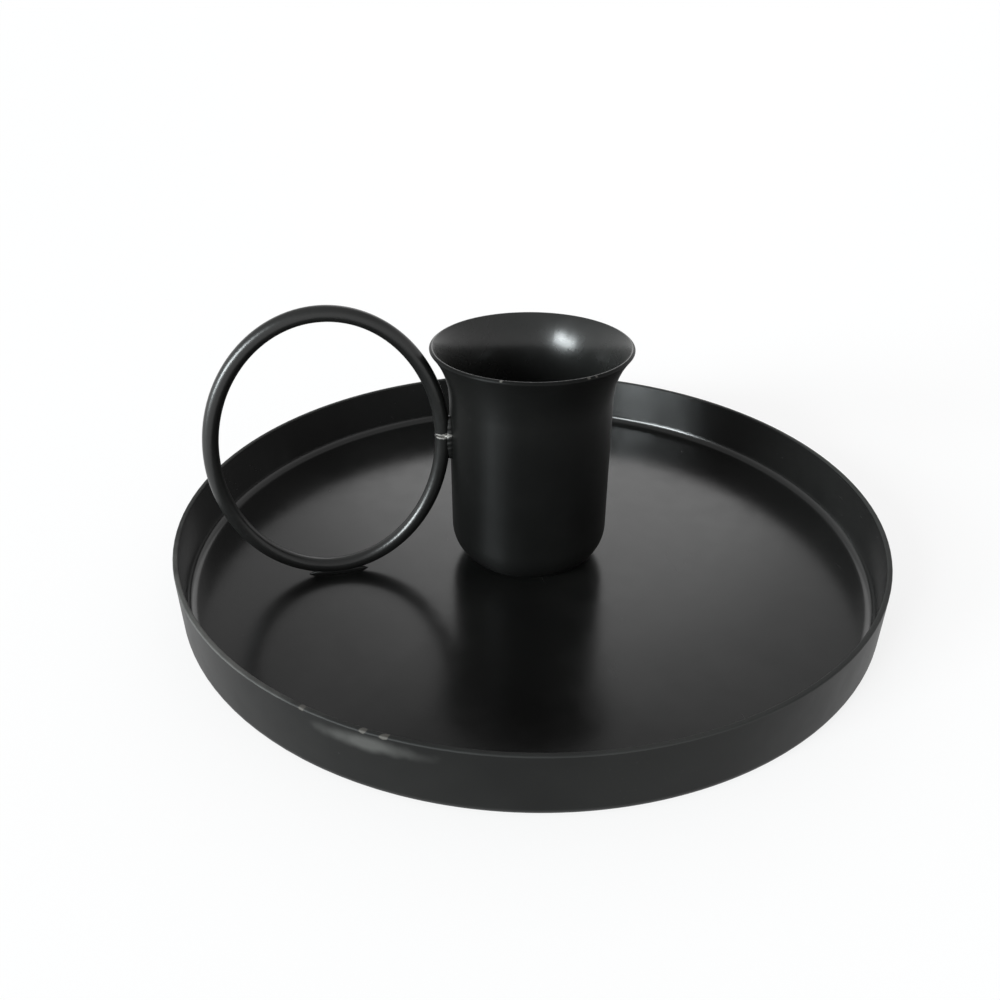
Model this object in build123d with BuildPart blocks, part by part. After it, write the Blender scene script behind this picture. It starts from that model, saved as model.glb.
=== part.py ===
from build123d import *
import math
import os

# Chamberstick: a pressed tray with an upright wall, a flared candle cup in its middle, and a finger loop of
# bent wire welded to the cup and to the tray's floor.
# Millimetres, +Z up. The origin is the middle of the tray's underside, and the loop stands in the XZ plane
# on the -X side of the cup.

os.makedirs("parts", exist_ok=True)

# Tray
tray_diameter = 105.0
tray_height = 9.4
tray_sheet = 0.7
tray_bend_radius = 1.6
boss_height = 1.3
boss_slope_run = 1.2
boss_bend_radius = 0.9

# Candle cup, all sizes over the outside of its sheet
lip_height = 35.0
lip_radius = 14.5
body_radius = 11.85
cup_sheet = 0.6
flare_height = 7.5
cup_corner_radius = 5.6
seat_ring_width = 1.4
seat_clearance = 0.25

# Rivet through the cup's bottom and the tray's boss
rivet_shank_radius = 1.5
rivet_clearance = 0.05
rivet_head_radius = 3.0
rivet_head_height = 1.1
rivet_head_corner = 0.7
rivet_tail_radius = 2.3
rivet_tail_height = 0.8
rivet_tail_corner = 0.3

# Finger loop: an oval that leans a little towards the cup, measured along its own axes over the outside of
# its wire
loop_width = 34.4
loop_height = 41.5
loop_lean = 5.4
wire_diameter = 2.2
butt_gap = 0.35
weld_throat = 0.15

# Welds, each a long bead centred a little above the sheet that it stands on
cup_weld_radius = 1.2
cup_weld_length = 6.4
cup_weld_drop = 0.7
foot_weld_radius = 1.0
foot_weld_length = 7.0
bead_rise = 0.3

# Rounding of the cut sheet edges at the tray's rim and the cup's lip
edge_radius = 0.2

# Levels, from the tray's underside upwards
floor_top = tray_sheet
seat_height = boss_height + tray_sheet
cup_floor_top = seat_height + cup_sheet

# The cup stands on a flat ring inside its corner. Within that ring its bottom nests over the tray's boss,
# and their two slopes are parallel.
punt_foot_radius = body_radius - cup_corner_radius - seat_ring_width
punt_radius = punt_foot_radius - boss_slope_run
boss_slope_share = boss_slope_run / boss_height
nest_step = (tray_sheet + seat_clearance) * math.hypot(1, boss_slope_share)
boss_radius = punt_radius + tray_sheet * boss_slope_share - nest_step

# The flare is one arc, tangent to the body and ending at the lip, whose cut edge rises across the sheet
flare_run = lip_radius - body_radius
flare_radius = (flare_run**2 + flare_height**2) / (2 * flare_run)
flare_top = lip_height - cup_sheet * flare_height / flare_radius
flare_start = flare_top - flare_height
flare_turn = math.degrees(math.asin(flare_height / flare_radius))

# The loop's centre line is an ellipse that passes the cup and the floor by the welds' throat. Its lean lifts
# the point nearest to the cup and moves the lowest point away from it.
wire_radius = wire_diameter / 2
loop_half_width = loop_width / 2 - wire_radius
loop_half_height = loop_height / 2 - wire_radius
lean_sin = math.sin(math.radians(loop_lean))
lean_cos = math.cos(math.radians(loop_lean))
loop_reach = math.hypot(loop_half_width * lean_cos, loop_half_height * lean_sin)
loop_drop = math.hypot(loop_half_width * lean_sin, loop_half_height * lean_cos)
loop_pull = (loop_half_height**2 - loop_half_width**2) * lean_sin * lean_cos
loop_near_x = -(body_radius + weld_throat + wire_radius)
loop_centre_x = loop_near_x - loop_reach
loop_centre_z = floor_top + weld_throat + wire_radius + loop_drop
butt_z = loop_centre_z + loop_pull / loop_reach
foot_x = loop_centre_x - loop_pull / loop_drop


# Tray: one bent line of sheet, with a boss in its middle, turned about the Z axis
with BuildPart() as tray:
    with BuildSketch(Plane.XZ):
        with BuildLine():
            FilletPolyline(
                (0, boss_height),
                (boss_radius, boss_height),
                (boss_radius + boss_slope_run, 0),
                (tray_diameter / 2, 0),
                (tray_diameter / 2, tray_height),
                radius=(boss_bend_radius, boss_bend_radius, tray_bend_radius),
            )
            offset(amount=tray_sheet, side=Side.LEFT)
        make_face()
    revolve(axis=Axis.Z)
    fillet(tray.faces().sort_by(Axis.Z)[-1].edges(), edge_radius)
    Hole(rivet_shank_radius + rivet_clearance)
tray.part.label = "tray"
export_step(tray.part, "parts/tray.step")


def cup_outline():
    """The cup's outer line, from the middle of its bottom to its lip."""
    body = FilletPolyline(
        (0, seat_height),
        (punt_radius, seat_height),
        (punt_foot_radius, floor_top),
        (body_radius, floor_top),
        (body_radius, flare_start),
        radius=(boss_bend_radius, boss_bend_radius, cup_corner_radius),
    )
    JernArc(start=body @ 1, tangent=body % 1, radius=flare_radius, arc_size=-flare_turn)


# Candle cup: its outer line thickened inwards by the sheet
with BuildPart() as candle_cup:
    with BuildSketch(Plane.XZ):
        with BuildLine():
            cup_outline()
            offset(amount=cup_sheet, side=Side.LEFT)
        make_face()
    revolve(axis=Axis.Z)
    fillet(candle_cup.faces().sort_by(Axis.Z)[-1].edges(), edge_radius)
    Hole(rivet_shank_radius + rivet_clearance)
candle_cup.part.label = "candle_cup"
export_step(candle_cup.part, "parts/candle_cup.step")

# The whole space inside the cup's outer line, which the weld stays out of
with BuildPart() as cup_space:
    with BuildSketch(Plane.XZ):
        with BuildLine():
            cup_outline()
            Polyline((lip_radius, flare_top), (0, flare_top), (0, seat_height))
        make_face()
    revolve(axis=Axis.Z)


# Rivet: a domed head in the cup, a shank through both sheets, and a clinched tail in the boss's hollow
with BuildPart() as cup_rivet:
    with BuildSketch(Plane.XY.offset(boss_height)):
        Circle(rivet_shank_radius)
    extrude(amount=cup_floor_top - boss_height)
    with BuildSketch(Plane.XY.offset(cup_floor_top)):
        Circle(rivet_head_radius)
    extrude(amount=rivet_head_height)
    fillet(cup_rivet.faces().sort_by(Axis.Z)[-1].edges(), rivet_head_corner)
    with BuildSketch(Plane.XY.offset(boss_height)):
        Circle(rivet_tail_radius)
    extrude(amount=-rivet_tail_height)
    fillet(cup_rivet.faces().sort_by(Axis.Z)[0].edges(), rivet_tail_corner)
cup_rivet.part.label = "cup_rivet"
export_step(cup_rivet.part, "parts/cup_rivet.step")


# Finger loop: one wire bent to an oval, its two ends butted at the cup
leaning = Plane(
    origin=(loop_centre_x, 0, loop_centre_z),
    x_dir=(lean_cos, 0, -lean_sin),
    z_dir=(0, -1, 0),
)
with BuildPart() as finger_loop:
    with BuildLine(leaning) as loop_line:
        for turn in (0, 90, 180, 270):
            EllipticalCenterArc((0, 0), loop_half_width, loop_half_height, start_angle=turn, arc_size=90)
    with BuildSketch(Plane(origin=loop_line.line @ 0, z_dir=loop_line.line % 0)):
        Circle(wire_radius)
    sweep()
    with BuildSketch(Plane.XY.offset(butt_z - butt_gap / 2)):
        with Locations((loop_near_x, 0)):
            Rectangle(wire_diameter * 2, wire_diameter * 2)
    extrude(amount=butt_gap, mode=Mode.SUBTRACT)
finger_loop.part.label = "finger_loop"
export_step(finger_loop.part, "parts/finger_loop.step")


def bead_outline(length, radius):
    """Half of a weld bead's outline, round at both ends, closed along the bead's long axis."""
    run = length / 2 - radius
    CenterArc((run, 0), radius, 0, 90)
    Line((run, radius), (-run, radius))
    CenterArc((-run, 0), radius, 90, 90)
    Line((-run - radius, 0), (run + radius, 0))


# Weld on the cup: an upright bead on the cup's wall, round the wire's flanks and through its butt
cup_bead = Plane(
    origin=(-body_radius - bead_rise, 0, butt_z - cup_weld_drop),
    x_dir=(0, 0, 1),
    z_dir=(0, 1, 0),
)
with BuildPart() as loop_cup_weld:
    with BuildSketch(cup_bead):
        with BuildLine():
            bead_outline(cup_weld_length, cup_weld_radius)
        make_face()
    revolve(axis=Axis(cup_bead.origin, cup_bead.x_dir))
    add(cup_space.part, mode=Mode.SUBTRACT)
    add(finger_loop.part, mode=Mode.SUBTRACT)
loop_cup_weld.part.label = "loop_cup_weld"
export_step(loop_cup_weld.part, "parts/loop_cup_weld.step")


# Weld on the tray: a level bead under the lowest point of the wire
foot_bead = Plane(origin=(foot_x, 0, floor_top + bead_rise), x_dir=(1, 0, 0), z_dir=(0, 1, 0))
with BuildPart() as loop_foot_weld:
    with BuildSketch(foot_bead):
        with BuildLine():
            bead_outline(foot_weld_length, foot_weld_radius)
        make_face()
    revolve(axis=Axis(foot_bead.origin, foot_bead.x_dir))
    split(bisect_by=Plane.XY.offset(floor_top), keep=Keep.TOP)
    add(finger_loop.part, mode=Mode.SUBTRACT)
loop_foot_weld.part.label = "loop_foot_weld"
export_step(loop_foot_weld.part, "parts/loop_foot_weld.step")
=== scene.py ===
import math
import bpy
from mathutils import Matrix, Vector


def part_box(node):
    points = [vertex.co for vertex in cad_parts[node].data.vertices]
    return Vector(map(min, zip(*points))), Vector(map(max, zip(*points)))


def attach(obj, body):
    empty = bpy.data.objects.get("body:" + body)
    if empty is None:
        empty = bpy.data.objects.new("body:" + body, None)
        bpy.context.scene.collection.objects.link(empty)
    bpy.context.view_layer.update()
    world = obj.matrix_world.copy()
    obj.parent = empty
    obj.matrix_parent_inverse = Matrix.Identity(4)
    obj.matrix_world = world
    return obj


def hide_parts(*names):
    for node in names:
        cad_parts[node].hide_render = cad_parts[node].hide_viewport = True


# A black enamelled chamberstick on a white table, lit by a pale room, a tall window at its front left and a
# soft glow from behind.
# Metres, +Z up. The finger loop is on the -X side of the cup, as in the frame.

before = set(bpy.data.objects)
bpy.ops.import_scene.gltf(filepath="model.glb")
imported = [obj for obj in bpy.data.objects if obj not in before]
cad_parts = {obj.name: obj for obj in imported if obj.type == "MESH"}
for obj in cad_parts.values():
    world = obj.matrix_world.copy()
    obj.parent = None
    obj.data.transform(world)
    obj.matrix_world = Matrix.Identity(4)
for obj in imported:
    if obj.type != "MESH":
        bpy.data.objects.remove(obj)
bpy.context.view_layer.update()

MM = 0.001

# Places and sizes that the frame gives. The loop stands in the XZ plane, so its box is as wide along Y as
# its wire. The foot weld stands on the tray's floor, so its lowest point is one sheet up.
TRAY_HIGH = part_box("tray")[1]
CUP_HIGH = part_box("candle_cup")[1]
LOOP_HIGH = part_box("finger_loop")[1]
CUP_WELD_LOW, CUP_WELD_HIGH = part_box("loop_cup_weld")
FOOT_WELD_LOW, FOOT_WELD_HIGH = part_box("loop_foot_weld")
RIM_RADIUS = TRAY_HIGH.x
RIM_HEIGHT = TRAY_HIGH.z
LIP_RADIUS = CUP_HIGH.x
LIP_HEIGHT = CUP_HIGH.z
WIRE_RADIUS = LOOP_HIGH.y
TRAY_SHEET = FOOT_WELD_LOW.z
CUP_WELD_HEIGHT = (CUP_WELD_LOW.z + CUP_WELD_HIGH.z) / 2
FOOT_WELD_MIDDLE = (FOOT_WELD_LOW.x + FOOT_WELD_HIGH.x) / 2

# The rounding of the tray's cut rim, and how far the cup weld's middle is below the loop's butt
EDGE_RADIUS = 0.2 * MM
CUP_WELD_DROP = 0.7 * MM

UP = Vector((0, 0, 1))
LEFT = Vector((-1, 0, 0))


def polar(radius, degrees, height):
    """A point at that radius and height, so many degrees round from +X."""
    turn = math.radians(degrees)
    return Vector((radius * math.cos(turn), radius * math.sin(turn), height))


# Node helpers


def add_node(tree, kind, **settings):
    """Adds a shader node and sets its properties."""
    node = tree.nodes.new(kind)
    for name, value in settings.items():
        setattr(node, name, value)
    return node


def feed(tree, socket, value):
    """Gives a socket a link or a plain value."""
    if isinstance(value, bpy.types.NodeSocket):
        tree.links.new(value, socket)
    else:
        socket.default_value = value


def calculate(tree, operation, first, second):
    """One step of arithmetic between sockets or numbers."""
    node = add_node(tree, "ShaderNodeMath", operation=operation)
    feed(tree, node.inputs[0], first)
    feed(tree, node.inputs[1], second)
    return node.outputs[0]


def multiply(tree, first, second):
    """The product of two sockets or numbers."""
    return calculate(tree, "MULTIPLY", first, second)


def calculate_vector(tree, operation, first, second=None):
    """One step of vector arithmetic. Gives its node, whose output is a vector or a value."""
    node = add_node(tree, "ShaderNodeVectorMath", operation=operation)
    feed(tree, node.inputs[0], first)
    if second is not None:
        feed(tree, node.inputs[1], second)
    return node


def noise(tree, place, size, detail=2.0, roughness=0.5):
    """Soft noise whose lumps are about that size, in metres."""
    node = add_node(tree, "ShaderNodeTexNoise")
    feed(tree, node.inputs["Vector"], place)
    node.inputs["Scale"].default_value = 1.0 / size
    node.inputs["Detail"].default_value = detail
    node.inputs["Roughness"].default_value = roughness
    return node.outputs["Fac"]


def ramp(tree, value, span, start=0.0, end=1.0):
    """Carries a span's low..high over to start..end, smoothly."""
    node = add_node(tree, "ShaderNodeMapRange", interpolation_type="SMOOTHSTEP")
    feed(tree, node.inputs["Value"], value)
    node.inputs["From Min"].default_value = span[0]
    node.inputs["From Max"].default_value = span[1]
    node.inputs["To Min"].default_value = start
    node.inputs["To Max"].default_value = end
    return node.outputs["Result"]


def blend_colour(tree, share, first, second):
    """Mixes two colours by a share from 0 to 1."""
    node = add_node(tree, "ShaderNodeMix", data_type="RGBA")
    feed(tree, node.inputs["Factor"], share)
    feed(tree, node.inputs["A"], first)
    feed(tree, node.inputs["B"], second)
    return node.outputs["Result"]


def opaque(colour, paler=1.0):
    """A colour as a socket takes it, multiplied by paler."""
    return (*(paler * part for part in colour), 1.0)


def near(tree, place, centre, reach, edge):
    """1 inside a ball round centre and 0 outside it, with a soft edge."""
    away = calculate_vector(tree, "DISTANCE", place, centre).outputs["Value"]
    return ramp(tree, away, (reach - edge, reach + edge), 1.0, 0.0)


# Black enamel

BLACK = (0.0052, 0.0054, 0.0052)
GREY_BLACK = (0.0085, 0.0087, 0.0083)
# The pale grey below is that of dust specks and scratches, and also of the streaks painted in as highlights.
DUST_AND_HIGHLIGHT = (0.10, 0.10, 0.095)
WORN_STEEL = (0.11, 0.105, 0.097)
BRIGHT_STEEL = (0.36, 0.35, 0.33)
ENAMEL_IOR = 1.5
QUARTER_TURN = 0.25

# Clouds and mottle, which vary its colour and gloss. A span holds the noise values where a change starts and
# where it is complete.
CLOUD_SIZE = 16 * MM
CLOUD_DETAIL = 3.0
MOTTLE_SIZE = 3.2 * MM
COLOUR_SPAN = (0.3, 0.7)
GLOSS_SPAN = (0.75, 1.25)
GLOSSIER = 0.015
DULLER = 0.025

# Dust specks. Their own span holds distances from a speck's middle, in pitches.
SPECK_PITCH = 2.3 * MM
SPECK_SPAN = (0.02, 0.06)
DUSTY_SPAN = (0.58, 0.64)
DUST_SHARE = 0.3

# Hairline scratches in two directions, whose turns are in radians
HAIRLINE_SIZE = 0.55 * MM
HAIRLINE_SQUEEZE = 0.045
HAIRLINE_SPAN = (0.68, 0.74)
HAIRLINE_STEP_X = 11 * MM
HAIRLINE_STEP_Y = 7 * MM
HAIRLINE_TURNS = (0.6, -0.9)
WORN_SPAN = (0.45, 0.65)
WORN_SHARE = 0.05
WORN_DULLER = 0.05

# Chips, and pale streaks painted in as highlights. A patch ends where the distance from its middle, counted
# in its own size, and a share of ragged noise add up to PATCH_EDGE.
RAGGED_SIZE = 0.45 * MM
RAGGED_DETAIL = 4.0
RAGGED_ROUGHNESS = 0.7
RAGGED_SHARE = 1.4
PATCH_EDGE = 1.6
CHIP_SOFTNESS = 0.3
HIGHLIGHT_SOFTNESS = 1.6
STEEL_METALLIC = 0.7
STEEL_DULLER = 0.2
CHIP_DEPTH = 2.5

# Orange peel, and a finer grain in it
PEEL_SIZE = 1.3 * MM
PEEL_HEIGHT = 0.0035 * MM
GRAIN_SIZE = 0.22 * MM
GRAIN_SHARE = 0.12


def dust(tree, place, mottle):
    """How dusty the paint is: round specks, where the mottle is high."""
    cells = add_node(tree, "ShaderNodeTexVoronoi", feature="F1")
    feed(tree, cells.inputs["Vector"], place)
    cells.inputs["Scale"].default_value = 1.0 / SPECK_PITCH
    speck = ramp(tree, cells.outputs["Distance"], SPECK_SPAN, 1.0, 0.0)
    rare = ramp(tree, mottle, DUSTY_SPAN)
    return multiply(tree, multiply(tree, speck, rare), DUST_SHARE)


def hairlines(tree, place, turn, seed):
    """Fine scratches that run one way. The seed shifts them, so that the two directions differ."""
    mapping = add_node(tree, "ShaderNodeMapping")
    feed(tree, mapping.inputs["Vector"], place)
    mapping.inputs["Location"].default_value = (seed * HAIRLINE_STEP_X, seed * HAIRLINE_STEP_Y, 0)
    mapping.inputs["Rotation"].default_value = (0, 0, turn)
    mapping.inputs["Scale"].default_value = (1.0, HAIRLINE_SQUEEZE, 1.0)
    return ramp(tree, noise(tree, mapping.outputs[0], HAIRLINE_SIZE), HAIRLINE_SPAN)


def wear(tree, place, cloud):
    """How scratched the paint is: hairlines in both directions, where the cloud is high."""
    first = hairlines(tree, place, HAIRLINE_TURNS[0], 1)
    second = hairlines(tree, place, HAIRLINE_TURNS[1], 2)
    return multiply(tree, calculate(tree, "MAXIMUM", first, second), ramp(tree, cloud, WORN_SPAN))


def patch(tree, place, centre, size, ragged, softness):
    """1 inside an ellipsoid round centre, 0 outside it, with an uneven edge."""
    moved = calculate_vector(tree, "SUBTRACT", place, centre).outputs["Vector"]
    scaled = calculate_vector(tree, "DIVIDE", moved, size).outputs["Vector"]
    length = calculate_vector(tree, "LENGTH", scaled).outputs["Value"]
    uneven = calculate(tree, "ADD", length, multiply(tree, ragged, RAGGED_SHARE))
    return ramp(tree, uneven, (PATCH_EDGE - softness / 2, PATCH_EDGE + softness / 2), 1.0, 0.0)


def bare_spots(tree, place, chips):
    """1 where a chip shows the steel, 0 elsewhere."""
    ragged = noise(tree, place, RAGGED_SIZE, RAGGED_DETAIL, RAGGED_ROUGHNESS)
    bare = 0.0
    for centre, size in chips:
        spot = patch(tree, place, centre, size, ragged, CHIP_SOFTNESS)
        bare = calculate(tree, "MAXIMUM", bare, spot)
    return bare


def orange_peel(tree, place):
    """The height of the paint's surface, in shares of the peel's height."""
    grain = multiply(tree, noise(tree, place, GRAIN_SIZE), GRAIN_SHARE)
    return calculate(tree, "ADD", noise(tree, place, PEEL_SIZE), grain)


def bump(tree, relief):
    """The normal that a relief gives the paint."""
    node = add_node(tree, "ShaderNodeBump")
    node.inputs["Strength"].default_value = 1.0
    node.inputs["Distance"].default_value = PEEL_HEIGHT
    feed(tree, node.inputs["Height"], relief)
    return node.outputs["Normal"]


def enamel(name, roughness, chips=(), painted_highlight=None, level=0.5, paler=1.0, drawn=0.0, steel=WORN_STEEL):
    """Black enamel with orange peel, cloudy gloss, hairlines and dust. Chips show the steel, and a streak
    that it is given is a pale soft patch painted into the colour as a highlight. Level is how strongly it
    mirrors, paler multiplies the paint's colour, and drawn stretches its highlights upright, as on metal
    that was drawn upwards."""
    material = bpy.data.materials.new(name)
    material.use_nodes = True
    tree = material.node_tree
    shader = tree.nodes["Principled BSDF"]
    place = add_node(tree, "ShaderNodeTexCoord").outputs["Object"]
    cloud = noise(tree, place, CLOUD_SIZE, CLOUD_DETAIL)
    mottle = noise(tree, place, MOTTLE_SIZE)
    worn = wear(tree, place, cloud)

    shade = ramp(tree, cloud, COLOUR_SPAN)
    paint = blend_colour(tree, shade, opaque(BLACK, paler), opaque(GREY_BLACK, paler))
    paint = blend_colour(tree, dust(tree, place, mottle), paint, opaque(DUST_AND_HIGHLIGHT))
    paint = blend_colour(tree, multiply(tree, worn, WORN_SHARE), paint, opaque(DUST_AND_HIGHLIGHT))
    # A pale soft streak painted into the colour as a highlight. On the rim it is partly edge wear too.
    if painted_highlight is not None:
        centre, size, strength = painted_highlight
        highlight_streak = patch(tree, place, centre, size, mottle, HIGHLIGHT_SOFTNESS)
        paint = blend_colour(tree, multiply(tree, highlight_streak, strength), paint, opaque(DUST_AND_HIGHLIGHT))

    unevenness = calculate(tree, "ADD", cloud, mottle)
    dullness = ramp(tree, unevenness, GLOSS_SPAN, roughness - GLOSSIER, roughness + DULLER)
    dullness = calculate(tree, "ADD", dullness, multiply(tree, worn, WORN_DULLER))
    relief = orange_peel(tree, place)

    if chips:
        bare = bare_spots(tree, place, chips)
        paint = blend_colour(tree, bare, paint, opaque(steel))
        dullness = calculate(tree, "ADD", dullness, multiply(tree, bare, STEEL_DULLER))
        relief = calculate(tree, "SUBTRACT", relief, multiply(tree, bare, CHIP_DEPTH))
        feed(tree, shader.inputs["Metallic"], multiply(tree, bare, STEEL_METALLIC))

    feed(tree, shader.inputs["Base Color"], paint)
    feed(tree, shader.inputs["Roughness"], dullness)
    feed(tree, shader.inputs["Normal"], bump(tree, relief))
    shader.inputs["IOR"].default_value = ENAMEL_IOR
    shader.inputs["Specular IOR Level"].default_value = level
    shader.inputs["Anisotropic"].default_value = drawn
    shader.inputs["Anisotropic Rotation"].default_value = QUARTER_TURN
    return material


# Chips at the tray's rim, the cup's lip and the butt of the loop, a painted highlight on the wall, and on
# the rim a pale streak that is partly edge wear and partly a painted highlight

CHIP_SIZE = 0.36 * MM
RIM_CHIP_INSET = 0.2 * MM
RIM_CHIP_DROP = 0.05 * MM
LIP_CHIP_INSET = 0.1 * MM
# A pale streak just under the rim at the front left, a painted highlight
WALL_HIGHLIGHT_DEGREES = 237.0
WALL_HIGHLIGHT_DROP = 1.7 * MM
WALL_HIGHLIGHT_SIZE = (6.5 * MM, 3.8 * MM, 0.85 * MM)
WALL_HIGHLIGHT_STRENGTH = 0.5
# A large pale streak on the rim at the front left: partly edge wear, partly a painted highlight
RIM_WEAR_AND_HIGHLIGHT_DEGREES = 206.0
RIM_WEAR_AND_HIGHLIGHT_SIZE = (12 * MM, 19 * MM, 0.8 * MM)
RIM_WEAR_AND_HIGHLIGHT_STRENGTH = 0.8
NICK_FORWARD = 0.9 * MM
NICK_SIZE = (1.5 * MM, 1.0 * MM, 0.42 * MM)


def edge_chips(radius, height, places):
    """Chips on a round edge. A place holds degrees round, and shares of the chip size along X, Y and Z."""
    chips = []
    for degrees, shares in places:
        size = tuple(CHIP_SIZE * share for share in shares)
        chips.append((polar(radius, degrees, height), size))
    return chips


RIM_CHIPS = edge_chips(
    RIM_RADIUS - RIM_CHIP_INSET,
    RIM_HEIGHT - RIM_CHIP_DROP,
    [(227.8, (1.3, 1.0, 0.9)), (236.6, (1.5, 1.0, 0.9)), (239.4, (1.6, 1.1, 1.0))],
)
LIP_CHIPS = edge_chips(
    LIP_RADIUS - LIP_CHIP_INSET,
    LIP_HEIGHT,
    [(240.2, (0.7, 0.7, 0.6)), (287.1, (0.9, 0.8, 0.7)), (291.7, (0.6, 0.6, 0.6))],
)
WALL_HIGHLIGHT_CENTRE = polar(RIM_RADIUS, WALL_HIGHLIGHT_DEGREES, RIM_HEIGHT - WALL_HIGHLIGHT_DROP)
WALL_HIGHLIGHT = (WALL_HIGHLIGHT_CENTRE, WALL_HIGHLIGHT_SIZE, WALL_HIGHLIGHT_STRENGTH)
RIM_WEAR_AND_HIGHLIGHT = (polar(RIM_RADIUS, RIM_WEAR_AND_HIGHLIGHT_DEGREES, RIM_HEIGHT), RIM_WEAR_AND_HIGHLIGHT_SIZE, RIM_WEAR_AND_HIGHLIGHT_STRENGTH)
BUTT = Vector((LOOP_HIGH.x - WIRE_RADIUS, -NICK_FORWARD, CUP_WELD_HEIGHT + CUP_WELD_DROP))
NICK = [(BUTT, NICK_SIZE)]

# The frame's own pieces

SAME_POINT = 0.001 * MM
HARD_CORNER = math.radians(35)
OUTWARD_LEAST = 0.15
DOWNWARD_LEAST = 0.3


def even_shading(thing):
    """Shades a mesh smoothly over its patches, weighted by their areas, and keeps its hard corners."""
    weld = thing.modifiers.new("weld", "WELD")
    weld.merge_threshold = SAME_POINT
    split = thing.modifiers.new("corners", "EDGE_SPLIT")
    split.split_angle = HARD_CORNER
    split.use_edge_sharp = False
    normals = thing.modifiers.new("normals", "WEIGHTED_NORMAL")
    normals.mode = "FACE_AREA"
    normals.keep_sharp = False


def dress(node, material):
    """Gives a CAD node's object one material and even shading."""
    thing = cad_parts[node]
    thing.data.materials.clear()
    thing.data.materials.append(material)
    even_shading(thing)


def dress_faces(node, material, wanted):
    """Gives the faces that are wanted another material."""
    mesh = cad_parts[node].data
    mesh.materials.append(material)
    for face in mesh.polygons:
        if wanted(face):
            face.material_index = len(mesh.materials) - 1


def is_outside(face):
    """Whether a face looks outwards or down."""
    outward = Vector((face.center.x, face.center.y, 0)).normalized()
    return face.normal.dot(outward) > OUTWARD_LEAST or face.normal.z < -DOWNWARD_LEAST


def is_rim(face):
    """Whether a face is on the tray's cut rim."""
    return face.center.z > RIM_HEIGHT - EDGE_RADIUS


TRAY_ENAMEL = enamel("tray_enamel", roughness=0.21)
# The tray's outer wall carries the painted highlight streak under the rim.
TRAY_OUTSIDE = enamel("tray_outside_enamel", roughness=0.40, chips=RIM_CHIPS, painted_highlight=WALL_HIGHLIGHT, level=0.11)
# The rim's enamel is painted 2.5 times as pale as the rest: partly thin paint worn at the cut edge, partly a
# painted highlight.
TRAY_RIM = enamel("tray_rim_enamel", roughness=0.55, chips=RIM_CHIPS, painted_highlight=RIM_WEAR_AND_HIGHLIGHT, level=0.2, paler=2.5)
# The cup's inside is painted twice as pale as the same enamel on the tray, a painted light; its outside is
# painted at 0.7 of it, a painted shade.
CUP_INSIDE = enamel("cup_inside_enamel", roughness=0.26, chips=LIP_CHIPS, paler=2.0)
CUP_OUTSIDE = enamel(
    "cup_outside_enamel", roughness=0.41, chips=LIP_CHIPS, level=0.1, paler=0.7, drawn=0.8
)

dress("tray", TRAY_ENAMEL)
dress_faces("tray", TRAY_OUTSIDE, is_outside)
dress_faces("tray", TRAY_RIM, is_rim)
dress("candle_cup", CUP_INSIDE)
dress_faces("candle_cup", CUP_OUTSIDE, is_outside)
dress("cup_rivet", enamel("rivet_enamel", roughness=0.30))
dress("finger_loop", enamel("loop_enamel", roughness=0.32, chips=NICK, steel=BRIGHT_STEEL))

# Pieces that the scene adds: pooled paint in the tray's crease, and the welds' ribbed beads

POOL_RADIUS = 1.4 * MM
POOL_SINK = 0.15 * MM
POOL_STEPS = 16
RING_STEPS = 360


def skin(name, rows, material, ring=False):
    """A closed smooth mesh over rows of points that are loops. A ring joins its last row to its first."""
    count = len(rows[0])
    points = [point for row in rows for point in row]
    faces = []
    for row in range(len(rows) if ring else len(rows) - 1):
        below = row * count
        above = (row + 1) % len(rows) * count
        for part in range(count):
            following = (part + 1) % count
            faces.append((below + part, below + following, above + following, above + part))
    if not ring:
        faces.append(tuple(reversed(range(count))))
        faces.append(tuple(range(len(points) - count, len(points))))
    mesh = bpy.data.meshes.new(name)
    mesh.from_pydata(points, [], faces)
    mesh.shade_smooth()
    mesh.materials.append(material)
    thing = bpy.data.objects.new(name, mesh)
    bpy.context.scene.collection.objects.link(thing)
    even_shading(thing)
    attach(thing, "root")
    return thing


def pool_row(degrees):
    """The pooled paint's section: a hollow curve from the floor to the wall, and its back in the sheet."""
    wall = RIM_RADIUS - TRAY_SHEET
    row = []
    for step in range(POOL_STEPS + 1):
        turn = math.pi / 2 * step / POOL_STEPS
        radius = wall - POOL_RADIUS * (1 - math.sin(turn))
        row.append(polar(radius, degrees, TRAY_SHEET + POOL_RADIUS * (1 - math.cos(turn))))
    back = wall + POOL_SINK
    row.append(polar(back, degrees, TRAY_SHEET + POOL_RADIUS))
    row.append(polar(back, degrees, TRAY_SHEET - POOL_SINK))
    row.append(polar(wall - POOL_RADIUS, degrees, TRAY_SHEET - POOL_SINK))
    return row


pool_rows = [pool_row(360 * step / RING_STEPS) for step in range(RING_STEPS)]
skin("crease_paint", pool_rows, TRAY_ENAMEL, ring=True)

# Weld beads. The tip keeps a bead's two ends a little open, so that neither closes to a point.
CUP_BEAD_LENGTH = 6.8 * MM
CUP_BEAD_RADIUS = 1.05 * MM
CUP_BEAD_TAPER = 0.35
FOOT_BEAD_LENGTH = 9.0 * MM
FOOT_BEAD_RADIUS = 0.85 * MM
FOOT_BEAD_TAPER = 0.9
BEAD_RISE = 0.3 * MM
BEAD_SINK = 0.3 * MM
BEAD_TIP = 0.0001
BEAD_STEPS = 120
BEAD_SIDES = 32
RIB_PITCH = 0.85 * MM
RIB_SKEW = 0.15 * MM
RIB_SHARE = 0.03


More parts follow.
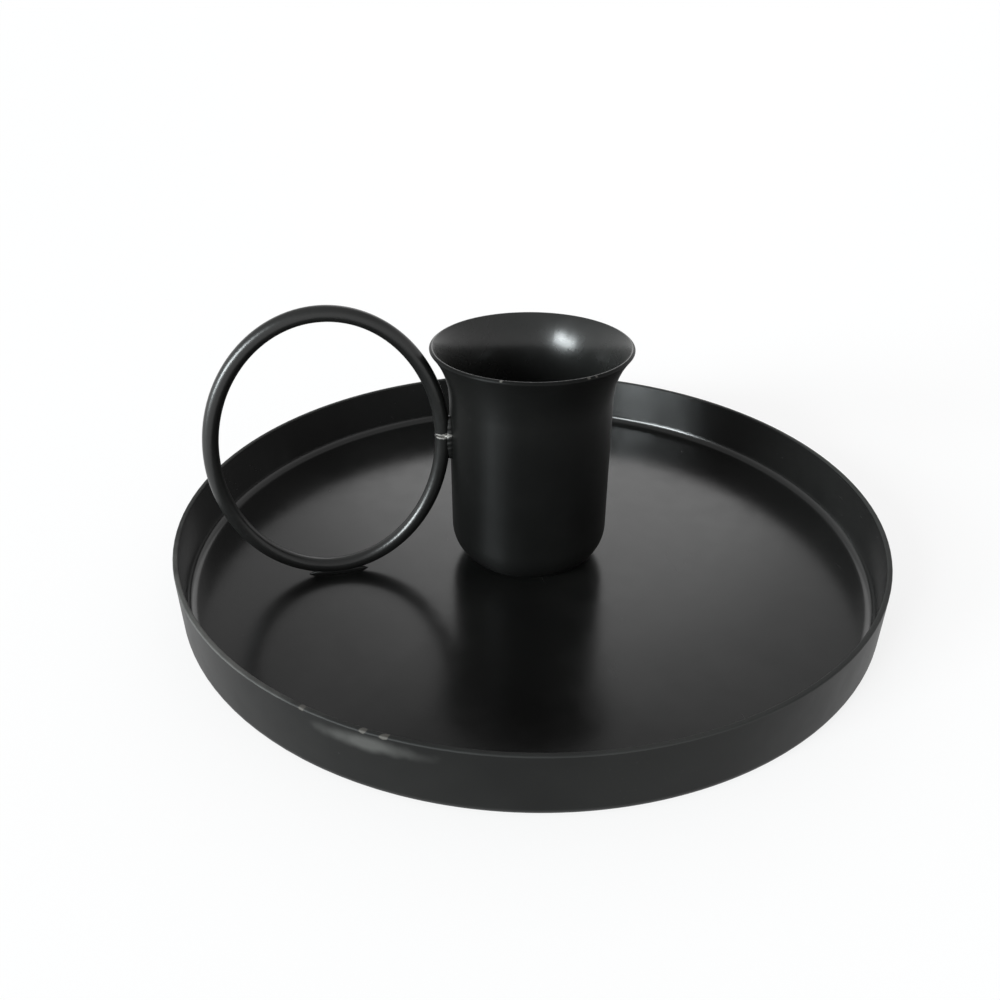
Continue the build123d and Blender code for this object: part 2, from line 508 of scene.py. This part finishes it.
def bead(name, foot, along, out, length, radius, taper, material):
    """A weld bead on a sheet at foot, ribbed like stacked coins. A high taper gives it pointed ends."""
    side = along.cross(out)
    rows = []
    for step in range(BEAD_STEPS + 1):
        share = 2 * step / BEAD_STEPS - 1
        run = share * length / 2
        swell = (1 + BEAD_TIP - share**2) ** taper
        row = []
        for part in range(BEAD_SIDES):
            turn = 2 * math.pi * part / BEAD_SIDES
            rib = math.sin(2 * math.pi * (run + RIB_SKEW * math.cos(turn)) / RIB_PITCH)
            reach = radius * swell * (1 + RIB_SHARE * swell * rib)
            height = max(BEAD_RISE * swell + reach * math.cos(turn), -BEAD_SINK)
            row.append(foot + along * run + out * height + side * reach * math.sin(turn))
        rows.append(row)
    return skin(name, rows, material)


cup_bead = bead(
    "cup_bead",
    foot=Vector((CUP_WELD_HIGH.x, 0, CUP_WELD_HEIGHT)),
    along=UP,
    out=LEFT,
    length=CUP_BEAD_LENGTH,
    radius=CUP_BEAD_RADIUS,
    taper=CUP_BEAD_TAPER,
    material=enamel("cup_weld_enamel", roughness=0.34, chips=NICK, level=0.4, steel=BRIGHT_STEEL),
)
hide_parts("loop_cup_weld")

foot_bead = bead(
    "foot_bead",
    foot=Vector((FOOT_WELD_MIDDLE, 0, FOOT_WELD_LOW.z)),
    along=LEFT,
    out=UP,
    length=FOOT_BEAD_LENGTH,
    radius=FOOT_BEAD_RADIUS,
    taper=FOOT_BEAD_TAPER,
    material=enamel("foot_weld_enamel", roughness=0.34, level=0.3),
)
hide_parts("loop_foot_weld")

# Table

TABLE_RADIUS = 6.0
TABLE_SIDES = 128
TABLE_WHITE = (0.97, 0.97, 0.97)
TABLE_ROUGHNESS = 0.6
TABLE_WHITENING = 0.8


def make_table():
    """A plain white table top. Where it is seen or mirrored it is mostly pure white, and what is left of
    its own shading keeps the object's shadow."""
    bpy.ops.mesh.primitive_circle_add(vertices=TABLE_SIDES, radius=TABLE_RADIUS, fill_type="NGON")
    table = bpy.context.object
    table.name = "table"
    material = bpy.data.materials.new("table_white")
    material.use_nodes = True
    tree = material.node_tree
    shader = tree.nodes["Principled BSDF"]
    shader.inputs["Base Color"].default_value = opaque(TABLE_WHITE)
    shader.inputs["Roughness"].default_value = TABLE_ROUGHNESS
    white = add_node(tree, "ShaderNodeEmission")
    white.inputs["Strength"].default_value = 1.0
    path = add_node(tree, "ShaderNodeLightPath")
    seen = calculate(tree, "MAXIMUM", path.outputs["Is Camera Ray"], path.outputs["Is Glossy Ray"])
    seen = calculate(tree, "MAXIMUM", seen, path.outputs["Is Transmission Ray"])
    mix = add_node(tree, "ShaderNodeMixShader")
    feed(tree, mix.inputs["Fac"], multiply(tree, seen, TABLE_WHITENING))
    feed(tree, mix.inputs[1], shader.outputs[0])
    feed(tree, mix.inputs[2], white.outputs[0])
    feed(tree, tree.nodes["Material Output"].inputs["Surface"], mix.outputs[0])
    table.data.materials.append(material)


make_table()

# Room light: white round the horizon and dimmer overhead, with a glow behind that the tray's floor mirrors

WHITE = (1.0, 1.0, 1.0)
OVERHEAD_SPAN = (0.15, 0.75)
OVERHEAD_LIGHT = 0.5
GLOW_ROUND = math.radians(16.5)
GLOW_UP = math.radians(25.5)
GLOW_REACH = 0.26
GLOW_EDGE = 0.08
GLOW_LIGHT = 1.02


def make_room():
    """A pale room as the world."""
    world = bpy.data.worlds.new("room")
    bpy.context.scene.world = world
    world.use_nodes = True
    tree = world.node_tree
    tree.nodes.clear()
    way = add_node(tree, "ShaderNodeTexCoord").outputs["Generated"]
    split = add_node(tree, "ShaderNodeSeparateXYZ")
    feed(tree, split.inputs[0], way)
    level = ramp(tree, split.outputs["Z"], OVERHEAD_SPAN, 1.0, OVERHEAD_LIGHT)
    centre = (
        math.sin(GLOW_ROUND) * math.cos(GLOW_UP),
        math.cos(GLOW_ROUND) * math.cos(GLOW_UP),
        math.sin(GLOW_UP),
    )
    glow = multiply(tree, near(tree, way, centre, GLOW_REACH, GLOW_EDGE), GLOW_LIGHT)
    background = add_node(tree, "ShaderNodeBackground")
    feed(tree, background.inputs["Color"], opaque(WHITE))
    feed(tree, background.inputs["Strength"], calculate(tree, "ADD", level, glow))
    output = add_node(tree, "ShaderNodeOutputWorld")
    feed(tree, output.inputs["Surface"], background.outputs[0])


make_room()

# Lamps: a tall window as two soft suns, one over the other

WINDOW_COLOUR = (0.93, 1.0, 1.02)


def make_sun(name, degrees_round, degrees_up, strength, spread):
    """A soft sun, so many degrees round from the front towards the left. Its spread is in degrees too."""
    light = bpy.data.lights.new(name, "SUN")
    light.energy = strength
    light.angle = math.radians(spread)
    light.color = WINDOW_COLOUR
    sun = bpy.data.objects.new(name, light)
    bpy.context.scene.collection.objects.link(sun)
    sun.rotation_euler = (math.radians(90 - degrees_up), 0, -math.radians(degrees_round))


make_sun("window", degrees_round=68, degrees_up=11.5, strength=3.0, spread=18)
make_sun("window_top", degrees_round=54, degrees_up=21, strength=1.9, spread=14)

# Camera, where the photograph's outlines put it: so far from the cup's axis, so far round from the front
# towards the left, and turned a little off that axis

CAMERA_AWAY = 117.76 * MM
CAMERA_HEIGHT = 77.6 * MM
CAMERA_ROUND = math.radians(14.16)
CAMERA_TURN = math.radians(-2.18)
CAMERA_DOWN = math.radians(30.01)
SENSOR_WIDTH = 36.0
FOCAL_LENGTH = 31.67
NEAREST_SEEN = 5 * MM


def make_camera():
    """The photograph's viewpoint."""
    data = bpy.data.cameras.new("camera")
    data.sensor_width = SENSOR_WIDTH
    data.lens = FOCAL_LENGTH
    data.clip_start = NEAREST_SEEN
    data.clip_end = 2 * TABLE_RADIUS
    camera = bpy.data.objects.new("camera", data)
    bpy.context.scene.collection.objects.link(camera)
    camera.location = (
        -CAMERA_AWAY * math.sin(CAMERA_ROUND),
        -CAMERA_AWAY * math.cos(CAMERA_ROUND),
        CAMERA_HEIGHT,
    )
    camera.rotation_euler = (math.pi / 2 - CAMERA_DOWN, 0, -(CAMERA_ROUND + CAMERA_TURN))
    bpy.context.scene.camera = camera


make_camera()
bpy.context.scene.view_settings.view_transform = "Standard"
